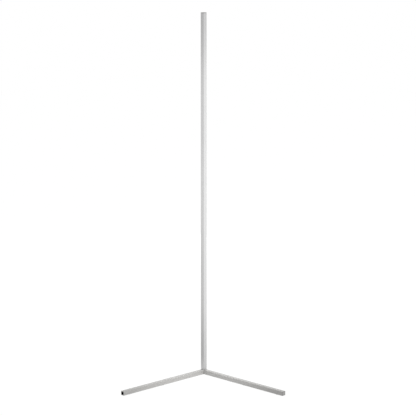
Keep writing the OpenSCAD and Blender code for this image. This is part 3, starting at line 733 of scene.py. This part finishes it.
# The housing's round collar, which lines the opening in the end plate and the recess behind it
COLLAR_OUTER, COLLAR_BACK, COLLAR_BEVEL, COLLAR_FRONT = 6.28, 417.9, 425.4, 425.6
collar = turned([
    (COLLAR_BACK, RECESS_R), (COLLAR_BACK, COLLAR_OUTER), (COLLAR_BEVEL, COLLAR_OUTER),
    (COLLAR_FRONT, COLLAR_OUTER - 0.12), (COLLAR_FRONT, RECESS_R + 0.08), (COLLAR_BEVEL, RECESS_R),
    (COLLAR_BACK, RECESS_R)], 64)
single("inlet_collar", ring_mesh("inlet_collar", collar), (0, 0, 0), "black_plastic", **INLET_FRAME)

centre_pin = turned([
    (PIN_TAIL, 1.15), (PIN_TAIL + 0.15, 1.3), (PIN_SHOULDER, 1.3), (PIN_SHOULDER, 1.0),
    (PIN_TIP - 0.6, 1.0), (PIN_TIP - 0.25, 0.8), (PIN_TIP - 0.05, 0.45), (PIN_TIP, 0.1)], 32)
single("centre_contact_pin", ring_mesh("centre_pin", centre_pin), (0, 0, 0), "plated_contact",
       ["inlet_centre_pin"], **INLET_FRAME)


# ---------- control board ----------

def on_board(name, at, slot_name, replaced, *ring_sets):
    """A component that is modelled on Z = 0, at this distance along the left leg."""
    single(name, ring_mesh(name, *ring_sets), (at, 0, BOARD_TOP), slot_name, [replaced],
           **BOARD_FRAME)


COIL_CASE_H = 0.6 * COIL_H
for name, at, size, ease, replaced, *rest in (
    ("radio_chip", RADIO_AT, (RADIO_W, RADIO_W, RADIO_H), 0.15, "control_chips"),
    ("driver_chip", DRIVER_AT, (DRIVER_L, DRIVER_W, DRIVER_H), 0.25, "control_chips"),
    ("coil_body", COIL_AT, (COIL_W, COIL_W, COIL_CASE_H), 0.5, "control_chips",
     turned([(COIL_CASE_H, 2.3), (COIL_H - 0.2, 2.3), (COIL_H, 2.1)], 32)),
    ("capacitor_base", CAPACITOR_AT, (CAPACITOR_W, CAPACITOR_W, CAPACITOR_BASE_H), 0.4,
     "control_capacitor"),
):
    on_board(name, at, "black_component", replaced, standing(size, ease), *rest)

CAN_R = 2.48
on_board("capacitor_sleeve", CAPACITOR_AT, "capacitor_can", "control_capacitor", turned([
    (CAPACITOR_BASE_H, 2.3), (1.0, CAN_R), (1.5, CAN_R), (1.75, 2.25), (2.0, CAN_R), (5.2, CAN_R),
    (5.35, 2.35), (CAPACITOR_H, 2.15), (5.34, 2.05), (5.34, 0.2)], 32))

# The driver chip's bent leads, in two rows
LEAD_COUNT, LEAD_PITCH, LEAD_W = 8, 1.27, 0.4
# Distance from the chip's middle and height, of a lead's underside and of its upper side, where it
# leaves the chip, bends down, bends out again and ends
LEAD_BENDS = (
    ((4, 0.86), (4, 1.0)), ((4.22, 0.86), (4.35, 1.0)), ((4.25, 0), (4.38, 0.14)),
    ((4.85, 0), (4.85, 0.14)))


def bent_lead(side):
    """Rings of one lead, on the side 1 or -1 of the chip."""
    w = LEAD_W / 2 * side
    return [[(-w, side * under[0], under[1]), (w, side * under[0], under[1]),
             (w, side * upper[0], upper[1]), (-w, side * upper[0], upper[1])]
            for under, upper in reversed(LEAD_BENDS)]


FIRST_LEAD_AT = DRIVER_AT - (LEAD_COUNT - 1) / 2 * LEAD_PITCH
row("driver_chip_leads", ring_mesh("driver_leads", bent_lead(1), bent_lead(-1)), LEAD_COUNT,
    (FIRST_LEAD_AT, 0, BOARD_TOP), (LEAD_PITCH, 0, 0), "plated_contact", **BOARD_FRAME)

# Three small resistors on each side of the coil
SMALL_RESISTOR_PITCH, SMALL_RESISTOR_ACROSS = 1.6, 3.9


def small_resistor_row(name, slot_name, size, shifts):
    """The same part of all six small resistors, at these shifts in mm from their middles."""
    parts = ring_mesh(name, *[
        block(size, (0, side * SMALL_RESISTOR_ACROSS + shift, size[2] / 2), 0.05)
        for side in (-1, 1) for shift in shifts])
    row(name, parts, 3, (COIL_AT - SMALL_RESISTOR_PITCH, 0, BOARD_TOP),
        (SMALL_RESISTOR_PITCH, 0, 0), slot_name, **BOARD_FRAME)


small_resistor_row("board_resistor_bodies", "black_component", (0.8, 0.96, 0.45), (0,))
small_resistor_row("board_resistor_ends", "plated_contact", (0.8, 0.25, 0.5), (-0.6, 0.6))


# ---------- solder joints ----------

# Heights and radii of a domed joint, as shares of its radius
DOME_PROFILE = ((0, 1), (0.2, 0.9), (0.55, 0.65), (0.8, 0.3), (0.85, 0.05))


def solder_pair(name, radius, first, gap, row_frame):
    """Two domed solder joints of this radius, from the first place and over the gap, in mm."""
    dome = turned([(height * radius, share * radius) for height, share in DOME_PROFILE], 16)
    row(name, ring_mesh(name, dome), 2, first, gap, "plated_contact", **row_frame)


WIRE_GAP = (0, WIRE_X[1] - WIRE_X[0], 0)
solder_pair("inlet_wire_joints", 0.68, (175.2, WIRE_X[0], BOARD_TOP), WIRE_GAP, BOARD_FRAME)
solder_pair("light_wire_joints", 0.68, (120.8, WIRE_X[0], BOARD_TOP), WIRE_GAP, BOARD_FRAME)
solder_pair("strip_wire_joints", 0.95, (-SOLDER_PAD_ACROSS, -STRIP_JOINT_Z, STRIP_BACK),
            (2 * SOLDER_PAD_ACROSS, 0, 0), STRIP_FRAME)


# ---------- studio ----------

def light_path_mix(tree, plain, shown):
    """Shows one shader to camera, glossy and transmitted rays, and the plain one to the rest."""
    path = add_node(tree, "ShaderNodeLightPath")
    seen = add_node(tree, "ShaderNodeMath", {
        0: path.outputs["Is Camera Ray"], 1: path.outputs["Is Glossy Ray"]}, operation="MAXIMUM")
    seen = add_node(tree, "ShaderNodeMath", {
        0: seen.outputs[0], 1: path.outputs["Is Transmission Ray"]}, operation="MAXIMUM")
    return add_node(tree, "ShaderNodeMixShader", {
        0: seen.outputs[0], 1: plain, 2: shown}).outputs[0]


# Strengths of the room light, of the white room, and of the floor's glow with its share in the mix
ROOM_LIGHT, ROOM_WHITE = 0.6, 1.0
FLOOR_GLOW, GLOW_SHARE = 1.1, 0.85
FLOOR_REACH = 6.0
FLOOR_Z = -0.05 * MM
WHITE = linear("#FFFFFF")

world = bpy.data.worlds.new("white_studio")
world.use_nodes = True
bpy.context.scene.world = world
world_tree = world.node_tree
world_tree.nodes.clear()
room_light, room_white = [
    add_node(world_tree, "ShaderNodeBackground", {"Color": WHITE, "Strength": strength}).outputs[0]
    for strength in (ROOM_LIGHT, ROOM_WHITE)]
add_node(world_tree, "ShaderNodeOutputWorld", {
    "Surface": light_path_mix(world_tree, room_light, room_white)})


def staged_plane(name, corners, finish):
    """A four-sided surface of the studio, through corners in metres."""
    plane_mesh = bpy.data.meshes.new(name)
    plane_mesh.from_pydata(corners, [], [(0, 1, 2, 3)])
    plane_mesh.materials.append(finish)
    plane = new_object(name, plane_mesh)
    return plane


def pale_floor():
    """Pale matt floor that just looks white.

    Camera and gloss see it mostly by a glow, with a faint shadow of the lamp. From below it is
    clear, so that it doesn't hide the lamp's underside."""
    finish, tree, shader = new_finish("pale_floor", "#D2D2D2", roughness=0.9)
    glow = add_node(tree, "ShaderNodeEmission", {"Color": WHITE, "Strength": FLOOR_GLOW})
    white = add_node(tree, "ShaderNodeMixShader", {
        0: GLOW_SHARE, 1: shader.outputs[0], 2: glow.outputs[0]})
    upper = light_path_mix(tree, shader.outputs[0], white.outputs[0])
    from_below = add_node(tree, "ShaderNodeNewGeometry").outputs["Backfacing"]
    clear = add_node(tree, "ShaderNodeBsdfTransparent")
    both = add_node(tree, "ShaderNodeMixShader", {0: from_below, 1: upper, 2: clear.outputs[0]})
    tree.links.new(both.outputs[0], tree.nodes["Material Output"].inputs["Surface"])
    return finish


staged_plane("floor", [
    (x * FLOOR_REACH, y * FLOOR_REACH, FLOOR_Z) for x, y in ((-1, -1), (1, -1), (1, 1), (-1, 1))],
    pale_floor())


def softbox(name, place, width, height, power):
    """Area lamp of this power in watts, at a place in metres, that faces the pole level.

    Neither camera nor gloss shows it."""
    lamp = bpy.data.lights.new(name, "AREA")
    lamp.shape = "RECTANGLE"
    lamp.size, lamp.size_y = width, height
    lamp.energy = power
    holder = new_object(name, lamp)
    holder.location = place
    holder.rotation_mode = "QUATERNION"
    holder.rotation_quaternion = Vector((-place[0], -place[1], 0)).to_track_quat("-Z", "Y")
    holder.visible_camera = holder.visible_glossy = False


# Distance of the side screens from the pole, half their width and their height, in metres
SCREEN_AWAY = 0.15
SCREEN_REACH = 0.14
SCREEN_TOP = 1.42


def screen_cloth(name, peak, levels):
    """Glowing cloth of this peak strength. levels pairs heights in metres with shares of it."""
    cloth = bpy.data.materials.new(name)
    cloth.use_nodes = True
    tree = cloth.node_tree
    tree.nodes.clear()
    place = add_node(tree, "ShaderNodeTexCoord").outputs["Object"]
    height = add_node(tree, "ShaderNodeSeparateXYZ", {0: place}).outputs["Z"]
    share = add_node(tree, "ShaderNodeMapRange", {"Value": height, "From Max": SCREEN_TOP})
    fade = add_node(tree, "ShaderNodeValToRGB", {0: share.outputs[0]})
    fade.color_ramp.interpolation = "EASE"
    stops = fade.color_ramp.elements
    for at, level in levels[2:]:
        stops.new(at / SCREEN_TOP)
    for stop, (at, level) in zip(stops, levels):
        stop.position = at / SCREEN_TOP
        stop.color = (level, level, level, 1)
    glow = add_node(tree, "ShaderNodeEmission", {"Color": fade.outputs[0], "Strength": peak})
    add_node(tree, "ShaderNodeOutputMaterial", {"Surface": glow.outputs[0]})
    return cloth


def side_screen(name, across, peak, levels):
    """Upright screen beside the lamp, this far to the photo's right, that only reflections show."""
    corners = [
        ((across + near) / math.sqrt(2), (across - near) / math.sqrt(2), height)
        for near, height in ((SCREEN_REACH, 0), (-SCREEN_REACH, 0),
                             (-SCREEN_REACH, SCREEN_TOP), (SCREEN_REACH, SCREEN_TOP))]
    screen = staged_plane(name, corners, screen_cloth(name + "_cloth", peak, levels))
    screen.visible_camera = screen.visible_diffuse = screen.visible_shadow = False


side_screen("left_screen", -SCREEN_AWAY, 1.14, [
    (0, 0.63), (0.32, 0.87), (0.67, 1.0), (1.07, 0.95), (1.37, 0.71)])
side_screen("right_screen", SCREEN_AWAY, 1.52, [
    (0, 0.72), (0.32, 0.9), (0.67, 0.98), (1.08, 0.95), (1.37, 0.73)])
softbox("key_softbox", (5.2, 1.0, 3.15), 2.3, 2.3, 168)
softbox("front_softbox", (0.22, -0.22, 0.4), 0.35, 0.35, 1.85)
softbox("back_softbox", (-1.8, 1.8, 0.8), 1.0, 1.4, 24)

# The photo's camera: place in metres, angles below level and round the pole in degrees, lens in mm
CAMERA_PLACE = (5.9898, -5.8892, 2.3903)
CAMERA_DOWN, CAMERA_ROUND = 11.681, 45.375
camera_data = bpy.data.cameras.new("camera")
camera_data.lens = 195.09
camera_data.sensor_width = 36
camera = new_object("camera", camera_data)
camera.location = CAMERA_PLACE
camera.rotation_euler = (math.radians(90 - CAMERA_DOWN), 0, math.radians(CAMERA_ROUND))
bpy.context.scene.camera = camera
bpy.context.scene.view_settings.view_transform = "Standard"
